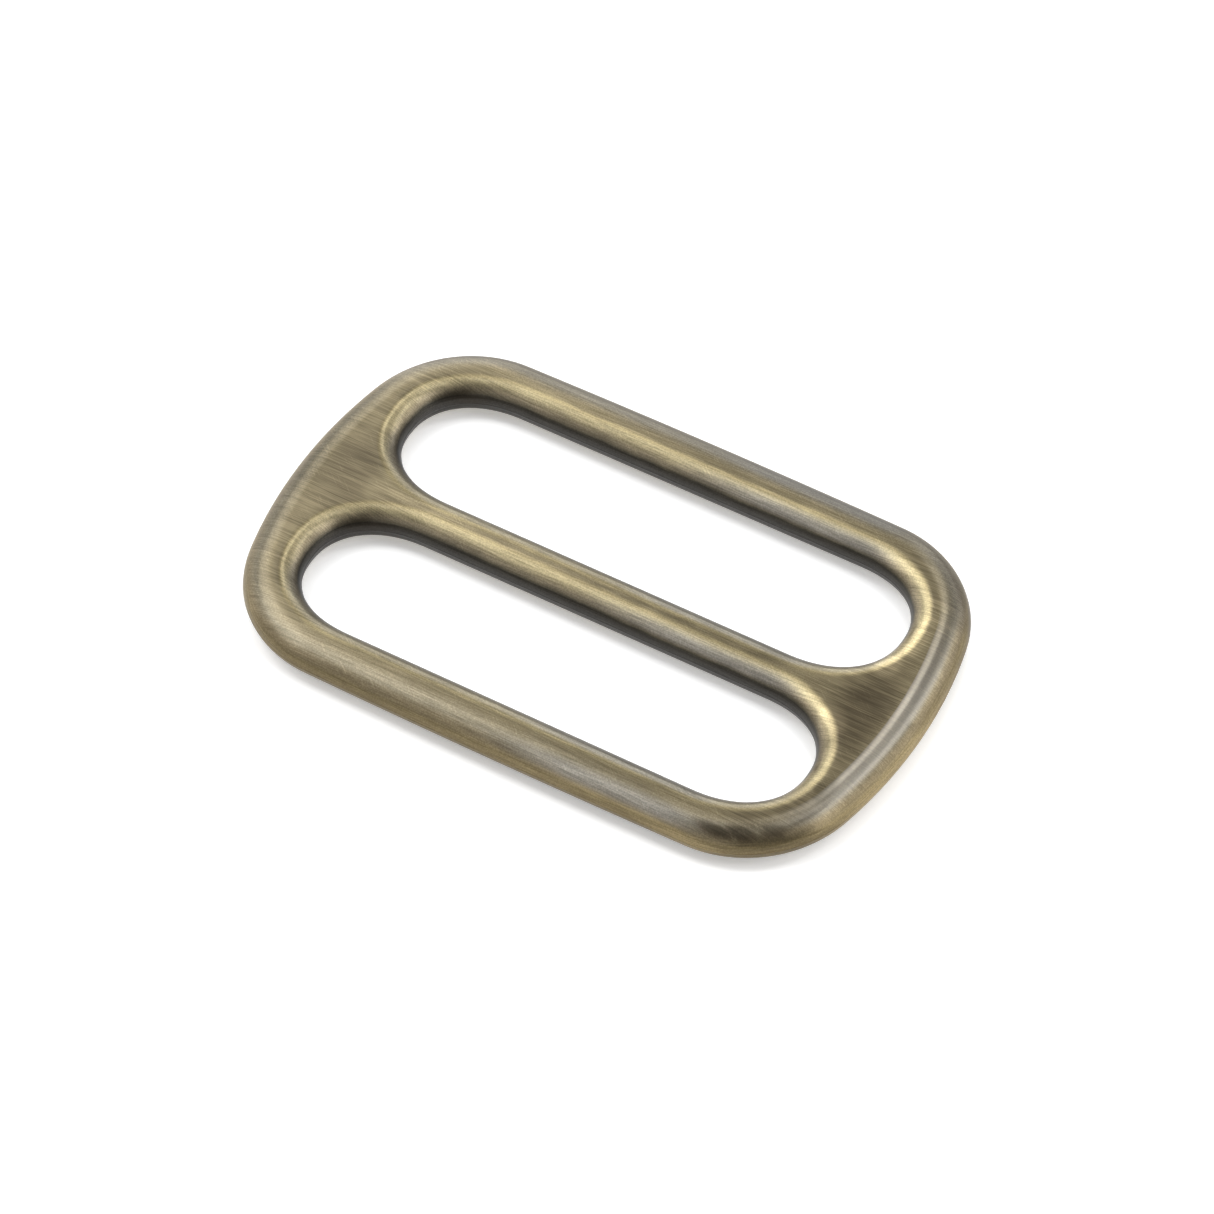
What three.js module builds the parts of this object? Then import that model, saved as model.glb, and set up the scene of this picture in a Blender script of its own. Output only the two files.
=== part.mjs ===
// A one-piece strap slider (tri-glide buckle) for 38 mm webbing, die cast in one shot and plated.
//
// A rounded frame with bowed ends holds two long slots, with a centre bar between them. Every edge is
// rounded over, so the two rails and the centre bar are oval in section, while the webs at the two
// ends, where the bar spreads out to meet the frame, keep a flat face above and below.
//
// Millimetres. +X runs along the slots, +Y across the bars and +Z up through the thickness. The origin
// is the centre of the underside.

import * as THREE from "three";

// The frame in plan.
const LENGTH = 50; // over the bowed ends
const WIDTH = 30.6; // over the two rails
const END_RADIUS = 34; // bow of each end
const SIDE_RADIUS = 900; // bow of each long side, which is almost straight
const CORNER_RADIUS = 9.2;

// The slots in plan. Each end is half a superellipse, a little squarer than an ellipse.
const SLOT_LENGTH = 39.7;
const SLOT_WIDTH = 9.5;
const SLOT_PITCH = 13.05; // between the centrelines of the two slots
const SLOT_END_LENGTH = 6.2; // from the end back to where the sides are straight
const SLOT_END_POWER = 2.24;

// The section. Each wall is half an ellipse, widest at half the thickness.
const THICKNESS = 3;
const FRAME_ROUND = 2.15; // how far in from the frame's outline its wall reaches the flat faces
const SLOT_ROUND = 1.65; // how far out from a slot's outline its wall does

// The mesh.
const SIDE_STEPS = 3; // on half of one long side
const CORNER_STEPS = 12; // on one corner
const END_STEPS = 6; // on half of one end
const SLOT_SIDE_STEPS = 2; // on half of one side of a slot
const SLOT_END_STEPS = 14; // on half of one end of a slot
const WALL_STEPS = 5; // from half the thickness to a flat face

function arc(centre, radius, from, to, steps) {
  return new THREE.EllipseCurve(centre.x, centre.y, radius, radius, from, to).getPoints(steps);
}

// Mirrors a quarter outline, which runs from the +X axis round to the +Y axis, into a whole one. It
// runs anticlockwise and gives no point twice.
function mirrored(quarter) {
  const between = quarter.slice(1, -1);
  const scaled = (points, x, y) => points.map((p) => new THREE.Vector2(p.x * x, p.y * y));
  return [
    ...quarter,
    ...scaled(between, -1, 1).reverse(),
    ...scaled(quarter, -1, -1),
    ...scaled(between, 1, -1).reverse(),
  ];
}

// The frame's outline: arcs for its ends, corners and sides, each tangent to the next.
function frameOutline() {
  const endCentre = new THREE.Vector2(LENGTH / 2 - END_RADIUS, 0);
  const sideCentre = new THREE.Vector2(0, WIDTH / 2 - SIDE_RADIUS);

  // A corner touches the end and the side from inside, so the centre of its arc is one known distance
  // from the centre of the end's arc and another from the centre of the side's.
  const fromEnd = END_RADIUS - CORNER_RADIUS;
  const fromSide = SIDE_RADIUS - CORNER_RADIUS;
  const apart = sideCentre.distanceTo(endCentre);
  const along = (fromSide ** 2 - fromEnd ** 2 + apart ** 2) / (2 * apart);
  const across = Math.sqrt(fromSide ** 2 - along ** 2);
  const direction = endCentre.clone().sub(sideCentre).normalize();
  const cornerCentre = sideCentre
    .clone()
    .addScaledVector(direction, along)
    .addScaledVector(new THREE.Vector2(direction.y, -direction.x), across);

  const endTurn = cornerCentre.clone().sub(endCentre).angle();
  const sideTurn = cornerCentre.clone().sub(sideCentre).angle();
  return mirrored([
    ...arc(endCentre, END_RADIUS, 0, endTurn, END_STEPS),
    ...arc(cornerCentre, CORNER_RADIUS, endTurn, sideTurn, CORNER_STEPS).slice(1),
    ...arc(sideCentre, SIDE_RADIUS, sideTurn, Math.PI / 2, SIDE_STEPS).slice(1),
  ]);
}

// One slot's outline, about its centre at the given Y.
function slotOutline(centreY) {
  const straight = SLOT_LENGTH / 2 - SLOT_END_LENGTH;
  const quarter = [];
  for (let i = 0; i <= SLOT_END_STEPS; i++) {
    const turn = (i / SLOT_END_STEPS) * (Math.PI / 2);
    const x = Math.max(Math.cos(turn), 0) ** (2 / SLOT_END_POWER);
    const y = Math.sin(turn) ** (2 / SLOT_END_POWER);
    quarter.push(new THREE.Vector2(straight + SLOT_END_LENGTH * x, (SLOT_WIDTH / 2) * y));
  }
  for (let i = 1; i <= SLOT_SIDE_STEPS; i++) {
    quarter.push(new THREE.Vector2(straight * (1 - i / SLOT_SIDE_STEPS), SLOT_WIDTH / 2));
  }
  return mirrored(quarter).map((point) => new THREE.Vector2(point.x, point.y + centreY));
}

// The rings of a wall, from the underside to the top. The middle ring is the outline itself, and the
// others lean away from it by the half ellipse: by up to reach along the outline's outward normal, or
// against it where reach is negative.
function wallRings(outline, reach) {
  const normals = outline.map((_, i) => {
    const run = outline[(i + 1) % outline.length].clone().sub(outline.at(i - 1)).normalize();
    return new THREE.Vector2(run.y, -run.x);
  });
  const rings = [];
  for (let level = -WALL_STEPS; level <= WALL_STEPS; level++) {
    const turn = (level / WALL_STEPS) * (Math.PI / 2);
    const lean = reach * (1 - Math.cos(turn));
    const height = (THICKNESS / 2) * (1 + Math.sin(turn));
    const ring = outline.map((point, i) => {
      const moved = point.clone().addScaledVector(normals[i], lean);
      return new THREE.Vector3(moved.x, moved.y, height);
    });
    rings.push(ring);
  }
  return rings;
}

// The triangles between each ring and the next.
function wallTriangles(rings) {
  const triangles = [];
  for (let level = 1; level < rings.length; level++) {
    const low = rings[level - 1];
    const high = rings[level];
    low.forEach((_, i) => {
      const next = (i + 1) % low.length;
      triangles.push([low[i], low[next], high[next]], [low[i], high[next], high[i]]);
    });
  }
  return triangles;
}

// The triangles of a flat face, which spans from the frame's ring to the slots' rings. They face up.
function faceTriangles(frameRing, slotRings) {
  const points = [...frameRing, ...slotRings.flat()];
  return THREE.ShapeUtils.triangulateShape([...frameRing], slotRings.map((ring) => [...ring])).map(
    (triangle) => triangle.map((index) => points[index]),
  );
}

function reversed(triangles) {
  return triangles.map(([a, b, c]) => [a, c, b]);
}

// One closed surface: the frame's outer wall, the slots' walls and the two flat faces.
function sliderGeometry() {
  const frameRings = wallRings(frameOutline(), -FRAME_ROUND);
  const slots = [SLOT_PITCH / 2, -SLOT_PITCH / 2].map((centreY) =>
    wallRings(slotOutline(centreY), SLOT_ROUND),
  );
  const triangles = [
    ...wallTriangles(frameRings),
    ...slots.flatMap((rings) => reversed(wallTriangles(rings))),
    ...faceTriangles(frameRings.at(-1), slots.map((rings) => rings.at(-1))),
    ...reversed(faceTriangles(frameRings[0], slots.map((rings) => rings[0]))),
  ];
  const geometry = new THREE.BufferGeometry().setFromPoints(triangles.flat());
  geometry.computeVertexNormals();
  return geometry;
}

const antiqueBrass = new THREE.MeshStandardMaterial({
  color: 0x9a8a66,
  metalness: 1,
  roughness: 0.38,
});

const body = new THREE.Mesh(sliderGeometry(), antiqueBrass);
body.name = "slider_body";

const slider = new THREE.Group();
slider.add(body);

export default slider;
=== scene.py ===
"""A one-piece antique-brass strap slider, lying on a pale studio floor."""

import math

import bpy
import numpy as np
from mathutils import Matrix, Vector
from mathutils.geometry import tessellate_polygon


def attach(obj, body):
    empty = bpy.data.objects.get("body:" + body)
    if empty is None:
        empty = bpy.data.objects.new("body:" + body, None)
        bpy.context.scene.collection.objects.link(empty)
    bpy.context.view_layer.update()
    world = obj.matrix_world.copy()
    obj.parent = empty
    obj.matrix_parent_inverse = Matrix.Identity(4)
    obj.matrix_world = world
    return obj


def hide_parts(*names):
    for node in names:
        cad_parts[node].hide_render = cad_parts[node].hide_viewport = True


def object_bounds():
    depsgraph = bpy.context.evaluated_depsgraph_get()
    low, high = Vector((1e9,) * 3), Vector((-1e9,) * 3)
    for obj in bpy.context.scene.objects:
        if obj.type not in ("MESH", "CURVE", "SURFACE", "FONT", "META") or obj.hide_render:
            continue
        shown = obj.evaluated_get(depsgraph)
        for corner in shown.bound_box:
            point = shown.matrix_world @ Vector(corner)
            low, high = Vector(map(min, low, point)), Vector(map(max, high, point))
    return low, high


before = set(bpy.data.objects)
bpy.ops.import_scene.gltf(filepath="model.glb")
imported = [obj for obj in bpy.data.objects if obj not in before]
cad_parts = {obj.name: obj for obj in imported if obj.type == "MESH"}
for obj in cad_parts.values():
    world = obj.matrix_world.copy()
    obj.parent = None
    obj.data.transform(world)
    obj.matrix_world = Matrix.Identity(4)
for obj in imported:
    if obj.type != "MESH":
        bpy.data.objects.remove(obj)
cad_low, cad_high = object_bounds()

MM = 0.001

# The frame in plan, as in the CAD.
LENGTH, WIDTH, THICKNESS = cad_high - cad_low
END_RADIUS = 34 * MM
SIDE_RADIUS = 900 * MM
CORNER_RADIUS = 9.2 * MM

# The slots in plan, as in the CAD.
SLOT_LENGTH = 39.7 * MM
SLOT_WIDTH = 9.5 * MM
SLOT_PITCH = 13.05 * MM
SLOT_END_LENGTH = 6.2 * MM
SLOT_END_POWER = 2.24

# How far the roundings of the walls reach into the flat faces, as in the CAD.
FRAME_ROUND = 2.15 * MM
SLOT_ROUND = 1.65 * MM

# The parting line that the two halves of the die leave round every wall. Its shoulder is a point between
# its foot and its crest.
PARTING_HALF_HEIGHT = 0.05 * MM
PARTING_DEPTH = 0.015 * MM
SHOULDER_HEIGHT = 0.45 * PARTING_HALF_HEIGHT
SHOULDER_LEAN = 0.35 * PARTING_DEPTH

OUTLINE_STEP = 0.3 * MM  # between the points of an arc
STRAIGHT_STEP = 2 * OUTLINE_STEP  # between the points of a slot's straight sides
SLOT_END_POINTS = 44  # in half of a slot's end
WALL_RINGS = 15  # from the parting line to a flat face
GRAIN_TURN = (0.35, 0.75)  # the levels where the grain turns from along the wall to along X


# ---------------------------------------------------------------- outlines


def arc(centre, radius, start, end):
    """Points and outward normals on an arc."""
    count = max(3, math.ceil(abs(end - start) * radius / OUTLINE_STEP))
    turn = np.linspace(start, end, count + 1)
    normals = np.stack([np.cos(turn), np.sin(turn)], 1)
    return centre + radius * normals, normals


def mirrored(points, normals):
    """A quarter outline, from the +X axis round to the +Y axis, mirrored into a whole one."""
    parts = []
    for quarter in (points, normals):
        between = quarter[1:-1]
        parts.append(
            np.concatenate(
                [
                    quarter,
                    (between * (-1, 1))[::-1],
                    quarter * (-1, -1),
                    (between * (1, -1))[::-1],
                ]
            )
        )
    return parts


def frame_outline():
    """The frame's outline: tangent arcs for its ends, corners and sides."""
    end_centre = np.array([LENGTH / 2 - END_RADIUS, 0.0])
    side_centre = np.array([0.0, WIDTH / 2 - SIDE_RADIUS])
    from_end = END_RADIUS - CORNER_RADIUS
    from_side = SIDE_RADIUS - CORNER_RADIUS
    apart = np.linalg.norm(end_centre - side_centre)
    direction = (end_centre - side_centre) / apart
    along = (from_side**2 - from_end**2 + apart**2) / (2 * apart)
    across = math.sqrt(from_side**2 - along**2)
    corner_centre = side_centre + direction * along + np.array([direction[1], -direction[0]]) * across
    end_turn = math.atan2(*(corner_centre - end_centre)[::-1])
    side_turn = math.atan2(*(corner_centre - side_centre)[::-1])
    arcs = [
        arc(end_centre, END_RADIUS, 0, end_turn),
        arc(corner_centre, CORNER_RADIUS, end_turn, side_turn),
        arc(side_centre, SIDE_RADIUS, side_turn, math.pi / 2),
    ]
    points = np.concatenate([arcs[0][0]] + [a[0][1:] for a in arcs[1:]])
    normals = np.concatenate([arcs[0][1]] + [a[1][1:] for a in arcs[1:]])
    return mirrored(points, normals)


def slot_outline(centre_y):
    """A slot's outline: straight sides and superelliptic ends."""
    straight = SLOT_LENGTH / 2 - SLOT_END_LENGTH
    half_width = SLOT_WIDTH / 2
    turn = np.linspace(0, math.pi / 2, SLOT_END_POINTS)
    x = np.maximum(np.cos(turn), 0) ** (2 / SLOT_END_POWER)
    y = np.sin(turn) ** (2 / SLOT_END_POWER)
    end = np.stack([straight + SLOT_END_LENGTH * x, half_width * y], 1)
    slope = np.stack(
        [x ** (SLOT_END_POWER - 1) / SLOT_END_LENGTH, y ** (SLOT_END_POWER - 1) / half_width], 1
    )
    end_normals = slope / np.linalg.norm(slope, axis=1)[:, None]
    count = math.ceil(straight / STRAIGHT_STEP)
    side_x = np.linspace(straight, 0, count + 1)[1:]
    side = np.stack([side_x, np.full(count, half_width)], 1)
    side_normals = np.tile((0.0, 1.0), (count, 1))
    points, normals = mirrored(
        np.concatenate([end, side]), np.concatenate([end_normals, side_normals])
    )
    return points + (0, centre_y), normals


# ---------------------------------------------------------------- surface


def wall_profile(reach):
    """(lean, height, level) of each ring of a wall, from the underside to the top. lean is how far the
    ring stands back from the outline into the metal, and level runs from -1 to 1."""
    half = THICKNESS / 2
    crest = (0.0, 0.0, 0.0)
    shoulder = (SHOULDER_LEAN, SHOULDER_HEIGHT, SHOULDER_HEIGHT / half)
    upper = [crest, shoulder]
    foot = math.asin(PARTING_HALF_HEIGHT / half)
    for turn in np.linspace(foot, math.pi / 2, WALL_RINGS):
        lean = PARTING_DEPTH + (reach - PARTING_DEPTH) * (1 - math.cos(turn))
        upper.append((lean, half * math.sin(turn), turn / (math.pi / 2)))
    lower = [(lean, -height, -level) for lean, height, level in upper[:0:-1]]
    return [(lean, half + height, level) for lean, height, level in lower + upper]


def smooth(low, high, value):
    """0 up to low and 1 from high, with a smooth rise between them."""
    share = min(max((value - low) / (high - low), 0.0), 1.0)
    return share * share * (3 - 2 * share)


class Surface:
    """The slider's surface as it is put together: vertices, faces and what the material reads, which is
    the level round a wall, 1 on the slots' walls and 0 on the frame's, and the direction of the grain."""

    def __init__(self):
        self.vertices = []
        self.faces = []
        self.level = []
        self.slot = []
        self.grain = []

    def wall(self, points, normals, reach, is_slot):
        """Adds a rounded wall and returns its bottom and top rings, as vertex numbers."""
        into = 1 if is_slot else -1
        tangents = np.stack([-normals[:, 1], normals[:, 0]], 1)
        rings = []
        for lean, height, level in wall_profile(reach):
            ring = points + normals * (into * lean)
            rings.append(len(self.vertices) + np.arange(len(points)))
            self.vertices += [(x, y, height) for x, y in ring]
            self.level += [level] * len(points)
            self.slot += [float(is_slot)] * len(points)
            share = smooth(*GRAIN_TURN, abs(level))
            for x, y in tangents:
                along_wall = Vector((x, y, 0)) * (-1 if x < 0 else 1)
                self.grain.append(along_wall.lerp(Vector((1, 0, 0)), share).normalized())
        for low, high in zip(rings, rings[1:]):
            for i in range(len(points)):
                j = (i + 1) % len(points)
                face = (low[i], low[j], high[j], high[i])
                self.faces.append(face[::-1] if is_slot else face)
        return rings[0], rings[-1]

    def flat(self, loops, up):
        """Fills the flat face between the frame's ring and the slots' rings, facing up or down."""
        numbers = np.concatenate(loops)
        corners = [[Vector(self.vertices[i]) / MM for i in loop] for loop in loops]
        for triangle in tessellate_polygon(corners):
            a, b, c = (int(numbers[k]) for k in triangle)
            (ax, ay, _), (bx, by, _), (cx, cy, _) = (self.vertices[k] for k in (a, b, c))
            faces_up = (bx - ax) * (cy - ay) - (by - ay) * (cx - ax) > 0
            self.faces.append((a, b, c) if faces_up == up else (a, c, b))


def slider_mesh():
    """The slider's mesh, with the attributes that its material reads."""
    surface = Surface()
    rings = [surface.wall(*frame_outline(), FRAME_ROUND, False)]
    for centre_y in (SLOT_PITCH / 2, -SLOT_PITCH / 2):
        rings.append(surface.wall(*slot_outline(centre_y), SLOT_ROUND, True))
    surface.flat([ring[0] for ring in rings], False)
    surface.flat([ring[1] for ring in rings], True)

    mesh = bpy.data.meshes.new("slider")
    mesh.from_pydata(surface.vertices, [], surface.faces)
    mesh.shade_smooth()
    for name, values in (("level", surface.level), ("slot", surface.slot)):
        mesh.attributes.new(name, "FLOAT", "POINT").data.foreach_set("value", values)
    grain = mesh.attributes.new("grain", "FLOAT_VECTOR", "POINT")
    grain.data.foreach_set("vector", [c for v in surface.grain for c in v])
    mesh.validate()
    mesh.update()
    return mesh


# ---------------------------------------------------------------- materials


class Nodes:
    """Adds and joins the shader nodes of a material. A value is a number, a colour or a node's socket."""

    def __init__(self, name):
        self.material = bpy.data.materials.new(name)
        self.material.use_nodes = True
        self.tree = self.material.node_tree
        self.tree.nodes.clear()

    def add(self, kind, settings=None, **inputs):
        """A new node. In an input's name, _ stands for a space."""
        node = self.tree.nodes.new(kind)
        for key, value in (settings or {}).items():
            setattr(node, key, value)
        for key, value in inputs.items():
            self.put(node, key.replace("_", " "), value)
        return node

    def put(self, node, key, value):
        """Sets a node's input, by its name or its number."""
        socket = node.inputs[int(key)] if key.isdigit() else node.inputs[key]
        if isinstance(value, bpy.types.NodeSocket):
            self.tree.links.new(value, socket)
        else:
            socket.default_value = value

    def math(self, operation, a, b=0.0):
        node = self.add("ShaderNodeMath", {"operation": operation})
        self.put(node, "0", a)
        self.put(node, "1", b)
        return node.outputs[0]

    def vector_math(self, operation, a, b=(0, 0, 0)):
        node = self.add("ShaderNodeVectorMath", {"operation": operation})
        self.put(node, "0", a)
        self.put(node, "1", b)
        return node.outputs

    def product(self, first, *others):
        for other in others:
            first = self.math("MULTIPLY", first, other)
        return first

    def ramp(self, value, low, high, start=0.0, end=1.0):
        """start where the value is low and end where it is high, with a smooth rise between them. Where
        low is the larger of the two, the ramp runs the other way."""
        node = self.add("ShaderNodeMapRange", {"interpolation_type": "SMOOTHSTEP"}, Value=value)
        for key, number in (("From Min", low), ("From Max", high), ("To Min", start), ("To Max", end)):
            self.put(node, key, number)
        return node.outputs["Result"]

    def attribute(self, name):
        return self.add("ShaderNodeAttribute", {"attribute_name": name})

    def noise(self, vector, scale, detail):
        node = self.add("ShaderNodeTexNoise", None, Vector=vector, Scale=scale, Detail=detail)
        return node.outputs["Fac"]

    def mix(self, factor, a, b):
        """A mix of two colours, which are inputs 6 and 7 of the node and its output 2."""
        node = self.add("ShaderNodeMix", {"data_type": "RGBA"})
        self.put(node, "0", factor)
        self.put(node, "6", a)
        self.put(node, "7", b)
        return node.outputs[2]

    def number_mix(self, factor, a, b):
        """A mix of two numbers, which are inputs 2 and 3 of the node and its output 0."""
        node = self.add("ShaderNodeMix", {"data_type": "FLOAT"})
        self.put(node, "0", factor)
        self.put(node, "2", a)
        self.put(node, "3", b)
        return node.outputs[0]

    def scale(self, vector, share):
        """A vector or a colour times a number."""
        node = self.add("ShaderNodeVectorMath", {"operation": "SCALE"}, Vector=vector, Scale=share)
        return node.outputs["Vector"]

    def faded(self, colour, share, saturation):
        """A colour that keeps that much of its saturation where the share is 1."""
        node = self.add("ShaderNodeHueSaturation", None, Color=colour, Fac=share, Saturation=saturation)
        return node.outputs["Color"]

    def separate(self, vector):
        return self.add("ShaderNodeSeparateXYZ", None, Vector=vector).outputs

    def combine(self, x, y, z):
        return self.add("ShaderNodeCombineXYZ", None, X=x, Y=y, Z=z).outputs["Vector"]

    def tones(self, value, stops):
        """A colour from a row of (value, colour) stops."""
        node = self.add("ShaderNodeValToRGB", None, Fac=value)
        elements = node.color_ramp.elements
        while len(elements) < len(stops):
            elements.new(0.5)  # its place is set below
        for element, (position, colour) in zip(elements, stops):
            element.position = position
            element.color = (*colour, 1)
        return node.outputs["Color"]

    def patch(self, place, centre, size):
        """1 in the core of a soft-edged ellipsoid, and 0 outside it."""
        apart = self.vector_math("SUBTRACT", place, centre)["Vector"]
        share = self.vector_math("DIVIDE", apart, size)["Vector"]
        radius = self.vector_math("LENGTH", share)["Value"]
        return self.ramp(radius, *PATCH_EDGE, 1.0, 0.0)

    def finished(self, shader):
        """The material, with the shader joined to its output."""
        output = self.add("ShaderNodeOutputMaterial")
        self.tree.links.new(shader.outputs[0], output.inputs[0])
        return self.material


# The brass's sizes and places are in millimetres, and a level is how far round a wall a point is, from 0
# at the parting line to 1 at the flat face. A pair of numbers is the start and end of a ramp. A gain is
# how many times brighter the brass is, and one of four numbers is a pair of noise values and their gains.

PATCH_EDGE = (0.25, 1.0)  # the soft edge of a patch, as shares of its radius

# The brass's tone round a wall, as (level, colour) from the parting line to the flat face. A slot's wall
# keeps its dark patina and is brighter at its shoulder. The frame's wall is golden, greyer towards its
# shoulder, partly as a painted sheen, and darker towards its bottom, partly as painted shade.
FRAME_TONES = [
    (0.0, (0.155, 0.12, 0.062)),
    (0.25, (0.20, 0.158, 0.083)),
    (0.45, (0.21, 0.17, 0.104)),
    (0.65, (0.21, 0.185, 0.13)),
    (0.9, (0.20, 0.17, 0.11)),
    (1.0, (0.18, 0.15, 0.09)),
]
SLOT_TONES = [
    (0.0, (0.05, 0.047, 0.043)),
    (0.3, (0.042, 0.038, 0.03)),
    (0.5, (0.25, 0.21, 0.14)),
    (0.72, (0.34, 0.29, 0.17)),
    (0.9, (0.30, 0.25, 0.14)),
    (1.0, (0.18, 0.15, 0.09)),
]
# The dark colour that the smoky patches mix in: patina, and painted shade where the patches stand for
# shade.
PATINA_AND_SHADE = (0.04, 0.03, 0.02, 1)
PAINTED_SILVER_HIGHLIGHT = (0.235, 0.222, 0.20, 1)  # the frame's lip at +X, mixed towards this silvery grey as a painted highlight

# Patches darkened towards the patina colour: patina on the webs, and painted shade along the front right
# corner and at the slots' back-left ends. Centre and half sizes in millimetres, and how far it darkens.
SMOKY_AND_SHADED_PATCHES = [
    ((20.9, -1.2, 3.0), (3.1, 6.8, 3.0), 0.72),
    ((17.3, -14.0, 2.75), (2.6, 0.8, 0.5), 0.85),
    ((18.9, -13.4, 2.75), (2.3, 0.95, 0.5), 0.85),
    ((20.8, -12.2, 2.75), (2.4, 1.2, 0.5), 0.78),
    ((19.8, -12.2, 3.0), (4.2, 2.0, 0.9), 0.42),
    ((21.0, -10.0, 3.0), (2.2, 3.4, 1.0), 0.4),
    ((-18.2, 10.7, 2.0), (3.4, 1.8, 1.1), 0.5),
    ((-18.2, -2.4, 2.0), (3.4, 1.8, 1.1), 0.4),
    ((-20.8, 0.5, 3.0), (3.0, 5.0, 3.0), 0.42),
]

# Patches of painted highlight, above 1, and painted shade, below 1, partly also the brass's own uneven
# tone:
# centre and half sizes in millimetres, and how many times brighter the brass is there.
LIT_AND_SHADED_PATCHES = [
    ((-9.0, 13.1, 3.0), (16.0, 0.95, 0.6), 1.32),
    ((-10.0, 0.0, 3.0), (13.0, 0.8, 0.6), 1.3),
    ((10.0, -0.2, 3.0), (8.0, 0.9, 0.6), 0.8),
    ((-10.0, -14.0, 3.0), (9.0, 0.9, 0.6), 1.15),
    ((8.0, -13.6, 3.0), (9.0, 0.9, 0.6), 0.86),
    ((25.0, -3.0, 1.0), (3.0, 15.0, 1.7), 1.7),
    ((9.0, -14.6, 2.5), (9.0, 1.1, 0.9), 1.5),
    ((-9.0, 12.1, 2.7), (10.0, 0.8, 0.8), 0.8),
    ((-9.0, -1.0, 2.7), (10.0, 0.6, 0.8), 0.86),
    ((-9.0, -12.4, 2.7), (10.0, 0.7, 0.8), 0.88),
    ((9.0, 11.75, 2.3), (8.0, 0.7, 0.8), 1.2),
    ((9.0, -1.35, 2.3), (8.0, 0.7, 0.8), 1.25),
    ((9.0, 13.2, 3.0), (10.0, 1.1, 0.6), 1.18),
    ((-12.0, -15.0, 2.0), (12.0, 0.8, 1.2), 0.85),
    ((-23.6, 0.0, 2.8), (2.6, 14.0, 1.0), 0.8),
    ((20.2, 6.5, 2.7), (3.0, 5.8, 1.5), 1.18),
    ((20.2, -6.5, 2.7), (3.0, 5.8, 1.5), 1.14),
    ((-21.8, -8.5, 2.7), (4.5, 6.5, 1.6), 0.93),
    ((-17.5, -13.9, 2.7), (2.4, 0.9, 0.7), 0.8),
    ((-16.2, -13.2, 3.0), (2.4, 0.8, 0.5), 1.1),
    ((19.3, -2.7, 3.0), (2.0, 2.0, 0.7), 1.8),
    ((23.2, -0.7, 3.0), (0.8, 5.0, 0.5), 1.25),
    ((22.0, -7.6, 3.0), (1.0, 2.2, 0.5), 0.68),
    ((20.6, -5.0, 3.0), (1.1, 1.7, 0.5), 1.35),
    ((20.4, 3.5, 3.0), (1.5, 1.7, 0.5), 1.6),
    ((21.1, 6.6, 3.0), (1.3, 3.0, 0.5), 1.35),
    ((15.5, -15.2, 1.6), (5.0, 1.0, 1.0), 1.35),
    ((-23.6, 0.0, 3.0), (1.2, 4.0, 1.0), 0.85),
]


# Blotches that shift the tones up and down the walls.
BLOTCHES = 0.35  # in a millimetre
BLOTCH_DETAIL = 3.0
BLOTCH_SHIFT = 0.16  # in levels, over the whole range of the noise

# The three sizes of brush stroke: how many there are in a millimetre, across them and along them.
COARSE_STROKES = (1.6, 0.22)
MEDIUM_STROKES = (6.0, 0.22)
FINE_STROKES = (15.0, 0.45)
STROKE_DETAIL = 3.0
STROKE_TURN = (0.28, 0.5)  # the levels where the strokes turn from along the wall to along X

COARSE_GAIN = (0.3, 0.7, 0.95, 1.05)
MEDIUM_GAIN = (0.36, 0.64, 0.88, 1.11)
FINE_GAIN = (0.38, 0.62, 0.8, 1.19)

# The strokes are plain on the webs at the ends, and only a share of them is left elsewhere.
WEB_START = (15.5, 18.5)  # from the middle of the slider
WEB_LEVELS = (0.8, 1.0)
BROAD_STROKES_LEFT = 0.42  # of the coarse and the medium ones
FINE_STROKES_LEFT = 0.6

# Hairline scratches: how many there are in a millimetre, across them and along them. Only some areas
# have any.
SCRATCHES = (11.0, 0.5)
SCRATCH_TURN = math.radians(38)
SCRATCH_EDGE = (0.61, 0.67)
SCRATCHED_AREAS = 0.7  # in a millimetre
SCRATCHED_AREA_EDGE = (0.48, 0.58)
SCRATCH_DETAIL = 1.0
SCRATCH_GAIN = 1.22

SPECKLES = 9.0  # in a millimetre
SPECKLE_DETAIL = 1.0
SPECKLE_GAIN = (0.36, 0.64, 0.88, 1.12)

# The polish lies on the frame's lip at +X: it is less rough there, and its tone is mixed towards a painted
# silvery highlight.
POLISH_AND_HIGHLIGHT_PATCH = ((23.6, -1.6, 3.0), (5.2, 15.5, 6.0))
LIP_BOTTOM = (0.5, 0.66)
LIP_TOP = (1.0, 0.985)
PAINTED_HIGHLIGHT_DEPTH = 0.6
POLISH_SMOOTHING = 0.06  # how much less rough the polish is

# Over the noise of the medium strokes, how much of the smoky patches' darkening is left.
SMOKE_AND_SHADE_STREAKS = (0.25, 0.7, 1.0, 0.75)

# Painted shade: the slopes low on the walls are darkened where they face the back. Facing is the normal's
# share of +Y.
SHADE_FACING = (0.15, 0.5)
FRAME_SHADE_LEVELS = (0.66, 0.5)
SLOT_SHADE_LEVELS = (0.78, 0.6)
SHADE_GAIN = 0.6

# Painted reflection: the shoulders are greyed along the right half of the bars, and wherever they face the
# back.
RIGHT_HALF_START = (-3.0, 7.0)
RIGHT_HALF_END = (17.5, 13.5)
GREY_LEVELS = (0.88, 0.6)
GREY_FACING = (0.05, 0.35)
FACING_GREY_LEVELS = (0.98, 0.8)
FACING_GREY_LEFT = 0.5  # how much of it there is away from the right half
GREY_BOTTOM = (0.3, 0.5)
GREY_SATURATION = 0.5

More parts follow.
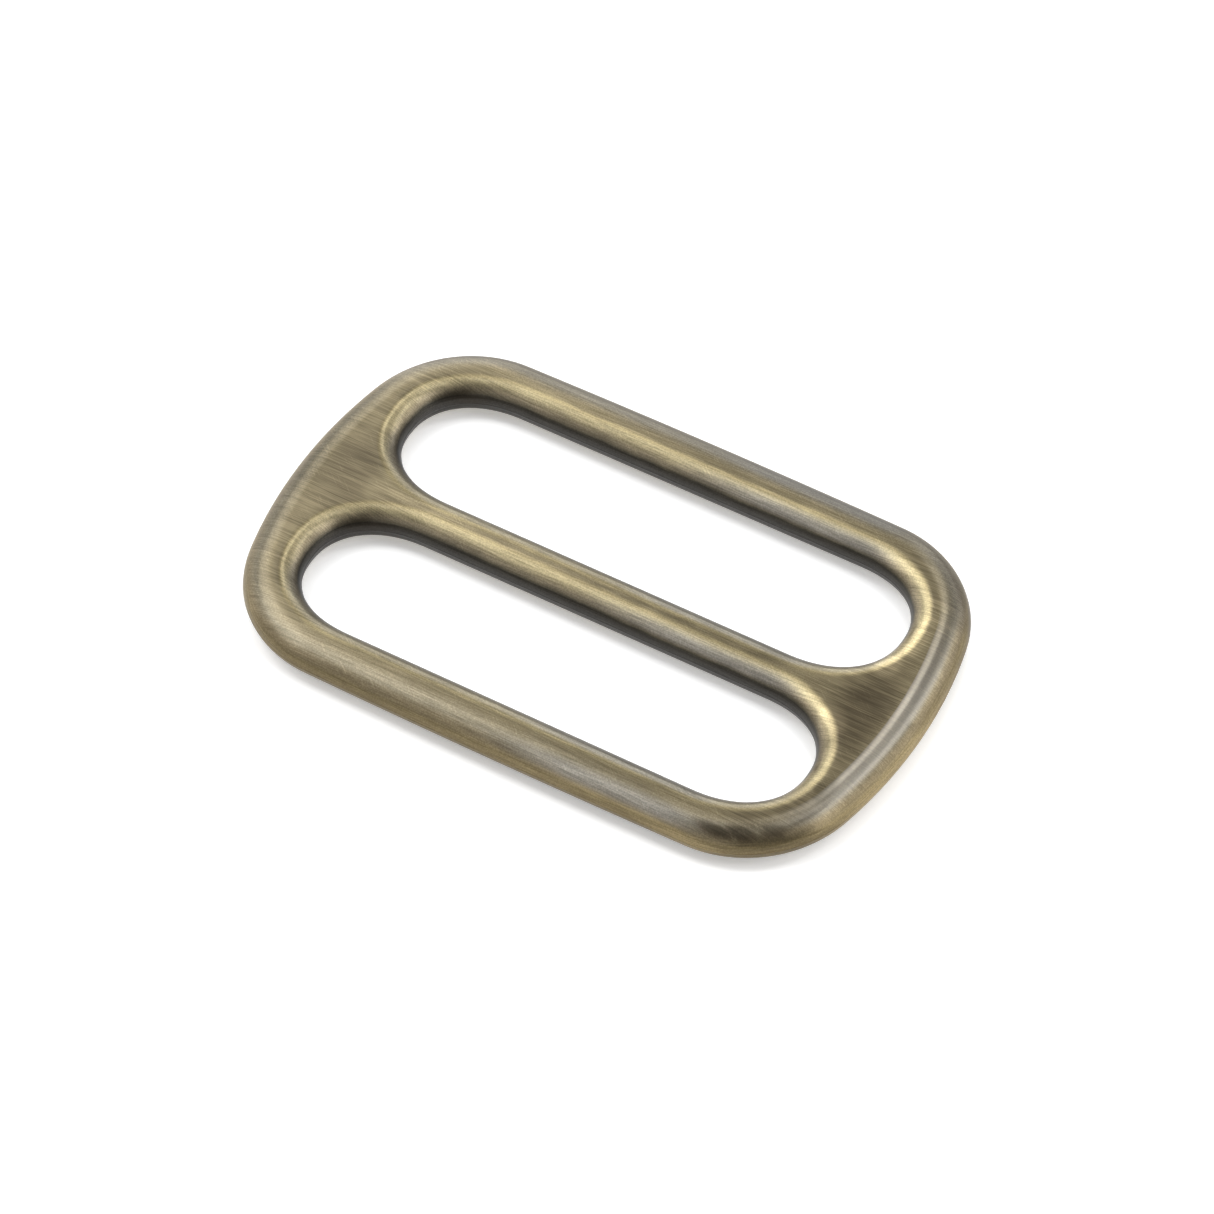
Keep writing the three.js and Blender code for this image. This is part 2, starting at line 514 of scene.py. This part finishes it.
# The finish. The highlights stretch across the strokes, a quarter turn from the grain. The roughness is
# a pair of noise values of the medium strokes, and how rough the brass is at each.
ROUGHNESS = (0.3, 0.7, 0.34, 0.42)
ANISOTROPY = 0.85
QUARTER_TURN = 0.25
COAT = 0.12
COAT_ROUGHNESS = 0.1
BUMP_STRENGTH = 0.05
BUMP_HEIGHT = 0.012 * MM


def stroke_noise(n, place, flatness, strokes):
    """The noise of brush strokes: along X on the top, and along the wall on the walls."""
    x, y, z = n.separate(place)
    across, along = strokes
    top = n.combine(n.product(x, along), n.product(y, across), n.product(z, along))
    wall = n.combine(n.product(x, along), n.product(y, along), n.product(z, across))
    on_top = n.noise(top, 1.0, STROKE_DETAIL)
    on_wall = n.noise(wall, 1.0, STROKE_DETAIL)
    return n.number_mix(flatness, on_wall, on_top)


def brush_strokes(n, place, flatness, on_web):
    """The noises of the coarse, medium and fine strokes. Each varies round 0.5, and is drawn towards it
    where the strokes are fainter."""
    broad = n.ramp(on_web, 0.0, 1.0, BROAD_STROKES_LEFT, 1.0)
    narrow = n.ramp(on_web, 0.0, 1.0, FINE_STROKES_LEFT, 1.0)
    sizes = ((COARSE_STROKES, broad), (MEDIUM_STROKES, broad), (FINE_STROKES, narrow))
    return [n.number_mix(left, 0.5, stroke_noise(n, place, flatness, size)) for size, left in sizes]


def scratch_lines(n, place):
    """Sparse hairline scratches that cross the strokes: 1 on a scratch and 0 off it."""
    across, along = SCRATCHES
    turned = n.add("ShaderNodeVectorRotate", {"rotation_type": "Z_AXIS"}, Vector=place, Angle=SCRATCH_TURN)
    x, y, _ = n.separate(turned.outputs["Vector"])
    line = n.noise(n.combine(n.product(x, along), n.product(y, across), 0.0), 1.0, SCRATCH_DETAIL)
    area = n.noise(place, SCRATCHED_AREAS, SCRATCH_DETAIL)
    return n.product(n.ramp(line, *SCRATCH_EDGE), n.ramp(area, *SCRATCHED_AREA_EDGE))


def plated_tone(n, place, level, slot):
    """The tone round the walls, with blotches."""
    blotch = n.math("SUBTRACT", n.noise(place, BLOTCHES, BLOTCH_DETAIL), 0.5)
    shifted = n.math("ADD", level, n.product(blotch, BLOTCH_SHIFT))
    return n.mix(slot, n.tones(shifted, FRAME_TONES), n.tones(shifted, SLOT_TONES))


def web_share(n, place, level):
    """1 on the flat webs at the ends, and 0 on the bars and the walls."""
    from_middle = n.math("ABSOLUTE", n.separate(place)[0])
    return n.product(n.ramp(from_middle, *WEB_START), n.ramp(level, *WEB_LEVELS))


def polish_and_highlight_share(n, place, level, slot):
    """How far the frame's lip is polished and carries its painted highlight."""
    lip = n.product(n.ramp(level, *LIP_BOTTOM), n.ramp(level, *LIP_TOP))
    on_frame = n.math("SUBTRACT", 1.0, slot)
    return n.product(lip, on_frame, n.patch(place, *POLISH_AND_HIGHLIGHT_PATCH))


def smoke_and_shade_share(n, place, medium):
    """How far the smoky patches darken the brass, streaked by the strokes: patina, and painted shade at
    the front right corner and the slots' back-left ends.
    """
    darkening = 0.0
    for centre, size, depth in SMOKY_AND_SHADED_PATCHES:
        darkening = n.math("MAXIMUM", darkening, n.product(n.patch(place, centre, size), depth))
    return n.product(darkening, n.ramp(medium, *SMOKE_AND_SHADE_STREAKS))


def shade_share(n, level, slot, normal_y):
    """Where a low slope faces the back, which gets painted shade."""
    levels = n.number_mix(slot, n.ramp(level, *FRAME_SHADE_LEVELS), n.ramp(level, *SLOT_SHADE_LEVELS))
    return n.product(n.ramp(normal_y, *SHADE_FACING), levels)


def grey_share(n, place, level, normal_y):
    """How far the shoulders are greyed by the painted reflection."""
    x = n.separate(place)[0]
    right_half = n.product(n.ramp(x, *RIGHT_HALF_START), n.ramp(x, *RIGHT_HALF_END))
    on_right = n.product(right_half, n.ramp(level, *GREY_LEVELS))
    facing = n.product(n.ramp(normal_y, *GREY_FACING), n.ramp(level, *FACING_GREY_LEVELS))
    facing = n.product(facing, n.ramp(right_half, 0.0, 1.0, FACING_GREY_LEFT, 1.0))
    return n.product(n.math("MAXIMUM", on_right, facing), n.ramp(level, *GREY_BOTTOM))


def brass_shader(n, tone, medium, fine, polish_and_highlight):
    """The metal under its thin coat, with the strokes in its roughness and its bump."""
    bump_height = n.math("ADD", medium, fine)
    bump = n.add("ShaderNodeBump", None, Height=bump_height, Strength=BUMP_STRENGTH, Distance=BUMP_HEIGHT)
    return n.add(
        "ShaderNodeBsdfPrincipled",
        None,
        Base_Color=tone,
        Metallic=1.0,
        Roughness=n.math("SUBTRACT", n.ramp(medium, *ROUGHNESS), n.product(polish_and_highlight, POLISH_SMOOTHING)),
        Anisotropic=ANISOTROPY,
        Anisotropic_Rotation=QUARTER_TURN,
        Tangent=n.attribute("grain").outputs["Vector"],
        Coat_Weight=COAT,
        Coat_Roughness=COAT_ROUGHNESS,
        Normal=bump.outputs["Normal"],
    )


def brass_material():
    n = Nodes("brushed_brass")
    coordinates = n.add("ShaderNodeTexCoord").outputs
    place = n.scale(coordinates["Object"], 1 / MM)
    normal_y = n.separate(coordinates["Normal"])[1]
    level = n.math("ABSOLUTE", n.attribute("level").outputs["Fac"])
    slot = n.attribute("slot").outputs["Fac"]

    flatness = n.ramp(level, *STROKE_TURN)
    on_web = web_share(n, place, level)
    coarse, medium, fine = brush_strokes(n, place, flatness, on_web)
    scratches = n.product(scratch_lines(n, place), flatness)
    speckle = n.number_mix(on_web, n.noise(place, SPECKLES, SPECKLE_DETAIL), 0.5)
    polish_and_highlight = polish_and_highlight_share(n, place, level, slot)
    shade = shade_share(n, level, slot, normal_y)
    grey = grey_share(n, place, level, normal_y)

    tone = plated_tone(n, place, level, slot)
    for noise, gain in ((coarse, COARSE_GAIN), (medium, MEDIUM_GAIN), (fine, FINE_GAIN)):
        tone = n.scale(tone, n.ramp(noise, *gain))
    tone = n.scale(tone, n.ramp(scratches, 0.0, 1.0, 1.0, SCRATCH_GAIN))
    tone = n.scale(tone, n.ramp(speckle, *SPECKLE_GAIN))
    # Painted highlight: the lip's tone is mixed towards a silvery grey.
    tone = n.mix(n.product(polish_and_highlight, PAINTED_HIGHLIGHT_DEPTH), tone, PAINTED_SILVER_HIGHLIGHT)
    # Smoky patches: patina, and painted shade at the front right corner and the slots' back-left ends.
    tone = n.mix(smoke_and_shade_share(n, place, medium), tone, PATINA_AND_SHADE)
    # Painted highlights and painted shade, patch by patch.
    for centre, size, gain in LIT_AND_SHADED_PATCHES:
        tone = n.scale(tone, n.ramp(n.patch(place, centre, size), 0.0, 1.0, 1.0, gain))
    # Painted shade on the low slopes that face the back.
    tone = n.scale(tone, n.ramp(shade, 0.0, 1.0, 1.0, SHADE_GAIN))
    # Painted reflection: the shoulders' tone is greyed.
    tone = n.faded(tone, grey, GREY_SATURATION)
    return n.finished(brass_shader(n, tone, medium, fine, polish_and_highlight))


FLOOR_TONES = ((0.93, 0.93, 0.93, 1), (0.95, 0.95, 0.95, 1))
FLOOR_BLOTCHES = 90.0  # in a metre
FLOOR_BLOTCH_DETAIL = 3.0
FLOOR_BLOTCH_EDGE = (0.3, 0.7)
FLOOR_ROUGHNESS = 0.9
FLOOR_GLOW = 0.3  # the tabletop is lit softly from beneath, which leaves only a faint contact shadow


def floor_material():
    n = Nodes("studio_floor")
    place = n.add("ShaderNodeTexCoord").outputs["Object"]
    blotches = n.ramp(n.noise(place, FLOOR_BLOTCHES, FLOOR_BLOTCH_DETAIL), *FLOOR_BLOTCH_EDGE)
    shader = n.add(
        "ShaderNodeBsdfPrincipled",
        None,
        Base_Color=n.mix(blotches, *FLOOR_TONES),
        Roughness=FLOOR_ROUGHNESS,
        Emission_Color=(1, 1, 1, 1),
        Emission_Strength=FLOOR_GLOW,
    )
    return n.finished(shader)


# ---------------------------------------------------------------- scene

slider = bpy.data.objects.new("slider", slider_mesh())
bpy.context.scene.collection.objects.link(slider)
slider.data.materials.append(brass_material())
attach(slider, "root")
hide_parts("slider_body")

FLOOR_REACH = 3.0  # from the middle to each side
FLOOR_GAP = 0.02 * MM  # under the slider


def make_floor():
    mesh = bpy.data.meshes.new("floor")
    corners = [(x * FLOOR_REACH, y * FLOOR_REACH, 0) for x, y in ((-1, -1), (1, -1), (1, 1), (-1, 1))]
    mesh.from_pydata(corners, [], [(0, 1, 2, 3)])
    floor = bpy.data.objects.new("floor", mesh)
    floor.location.z = cad_low.z - FLOOR_GAP
    bpy.context.scene.collection.objects.link(floor)
    mesh.materials.append(floor_material())


make_floor()

# The camera, at the photograph's angle.
CAMERA_AZIMUTH = math.radians(34.936)
CAMERA_ELEVATION = math.radians(52.104)
CAMERA_ROLL = math.radians(-4.966)
CAMERA_DISTANCE = 489.9 * MM
CAMERA_SIDE = 0.064 * MM
CAMERA_RISE = 0.443 * MM
CAMERA_LENS = 209.72
SENSOR = 36.0
NEAREST = 0.01  # that the camera sees
FURTHEST = 20.0


def make_camera():
    back = Vector(
        (
            math.sin(CAMERA_AZIMUTH) * math.cos(CAMERA_ELEVATION),
            -math.cos(CAMERA_AZIMUTH) * math.cos(CAMERA_ELEVATION),
            math.sin(CAMERA_ELEVATION),
        )
    )
    level_right = Vector((0, 0, 1)).cross(back).normalized()
    level_up = back.cross(level_right)
    right = math.cos(CAMERA_ROLL) * level_right + math.sin(CAMERA_ROLL) * level_up
    up = math.cos(CAMERA_ROLL) * level_up - math.sin(CAMERA_ROLL) * level_right
    data = bpy.data.cameras.new("camera")
    data.lens = CAMERA_LENS
    data.sensor_width = SENSOR
    data.clip_start = NEAREST
    data.clip_end = FURTHEST
    camera = bpy.data.objects.new("camera", data)
    bpy.context.scene.collection.objects.link(camera)
    place = back * CAMERA_DISTANCE + right * CAMERA_SIDE + up * CAMERA_RISE
    camera.matrix_world = Matrix.Translation(place) @ Matrix((right, up, back)).transposed().to_4x4()
    bpy.context.scene.camera = camera


make_camera()

LIGHT_DISTANCE = 0.6
WORLD_GREY = 0.12

# Each light's name, azimuth from +X and elevation in degrees, width and height in metres, and radiance.
LIGHTS = [
    ("overhead", 45, 77, 0.18, 0.18, 4.6),
    ("overhead_left", 180, 70, 0.15, 0.26, 5.0),
    ("back", 101, 58, 0.12, 0.34, 4.2),
    ("back_right", 47, 49, 0.14, 0.34, 4.2),
    ("right", 8, 51, 0.22, 0.26, 3.9),
    ("left_front", 205, 50, 0.26, 0.26, 2.9),
    ("left", 177, 50, 0.26, 0.26, 2.9),
    ("left_fill", 172, 31, 0.45, 0.16, 1.0),
    ("left_back", 143, 42, 0.26, 0.30, 2.4),
    ("low_left", 170, 14, 0.6, 0.2, 1.3),
    ("low_back_left", 128, 18, 0.36, 0.22, 2.2),
    ("low_back", 90, 16, 0.5, 0.2, 1.3),
    ("low_back_right", 52, 18, 0.36, 0.22, 1.4),
    ("low_right", 10, 17, 0.5, 0.22, 2.3),
    ("low_front", 262, 22, 0.6, 0.26, 1.0),
]


def make_light(name, azimuth, elevation, width, height, radiance):
    """A rectangular light that faces the slider."""
    turn = math.radians(azimuth)
    rise = math.radians(elevation)
    direction = Vector((math.cos(rise) * math.cos(turn), math.cos(rise) * math.sin(turn), math.sin(rise)))
    data = bpy.data.lights.new(name, "AREA")
    data.shape = "RECTANGLE"
    data.size = width
    data.size_y = height
    data.energy = radiance * math.pi * width * height
    light = bpy.data.objects.new(name, data)
    light.location = direction * LIGHT_DISTANCE
    light.rotation_mode = "QUATERNION"
    light.rotation_quaternion = direction.to_track_quat("Z", "Y")
    light.visible_camera = False
    bpy.context.scene.collection.objects.link(light)


for light in LIGHTS:
    make_light(*light)

world = bpy.data.worlds.new("studio")
world.use_nodes = True
world.node_tree.nodes["Background"].inputs[0].default_value = (WORLD_GREY, WORLD_GREY, WORLD_GREY, 1)
bpy.context.scene.world = world
bpy.context.scene.view_settings.view_transform = "Standard"
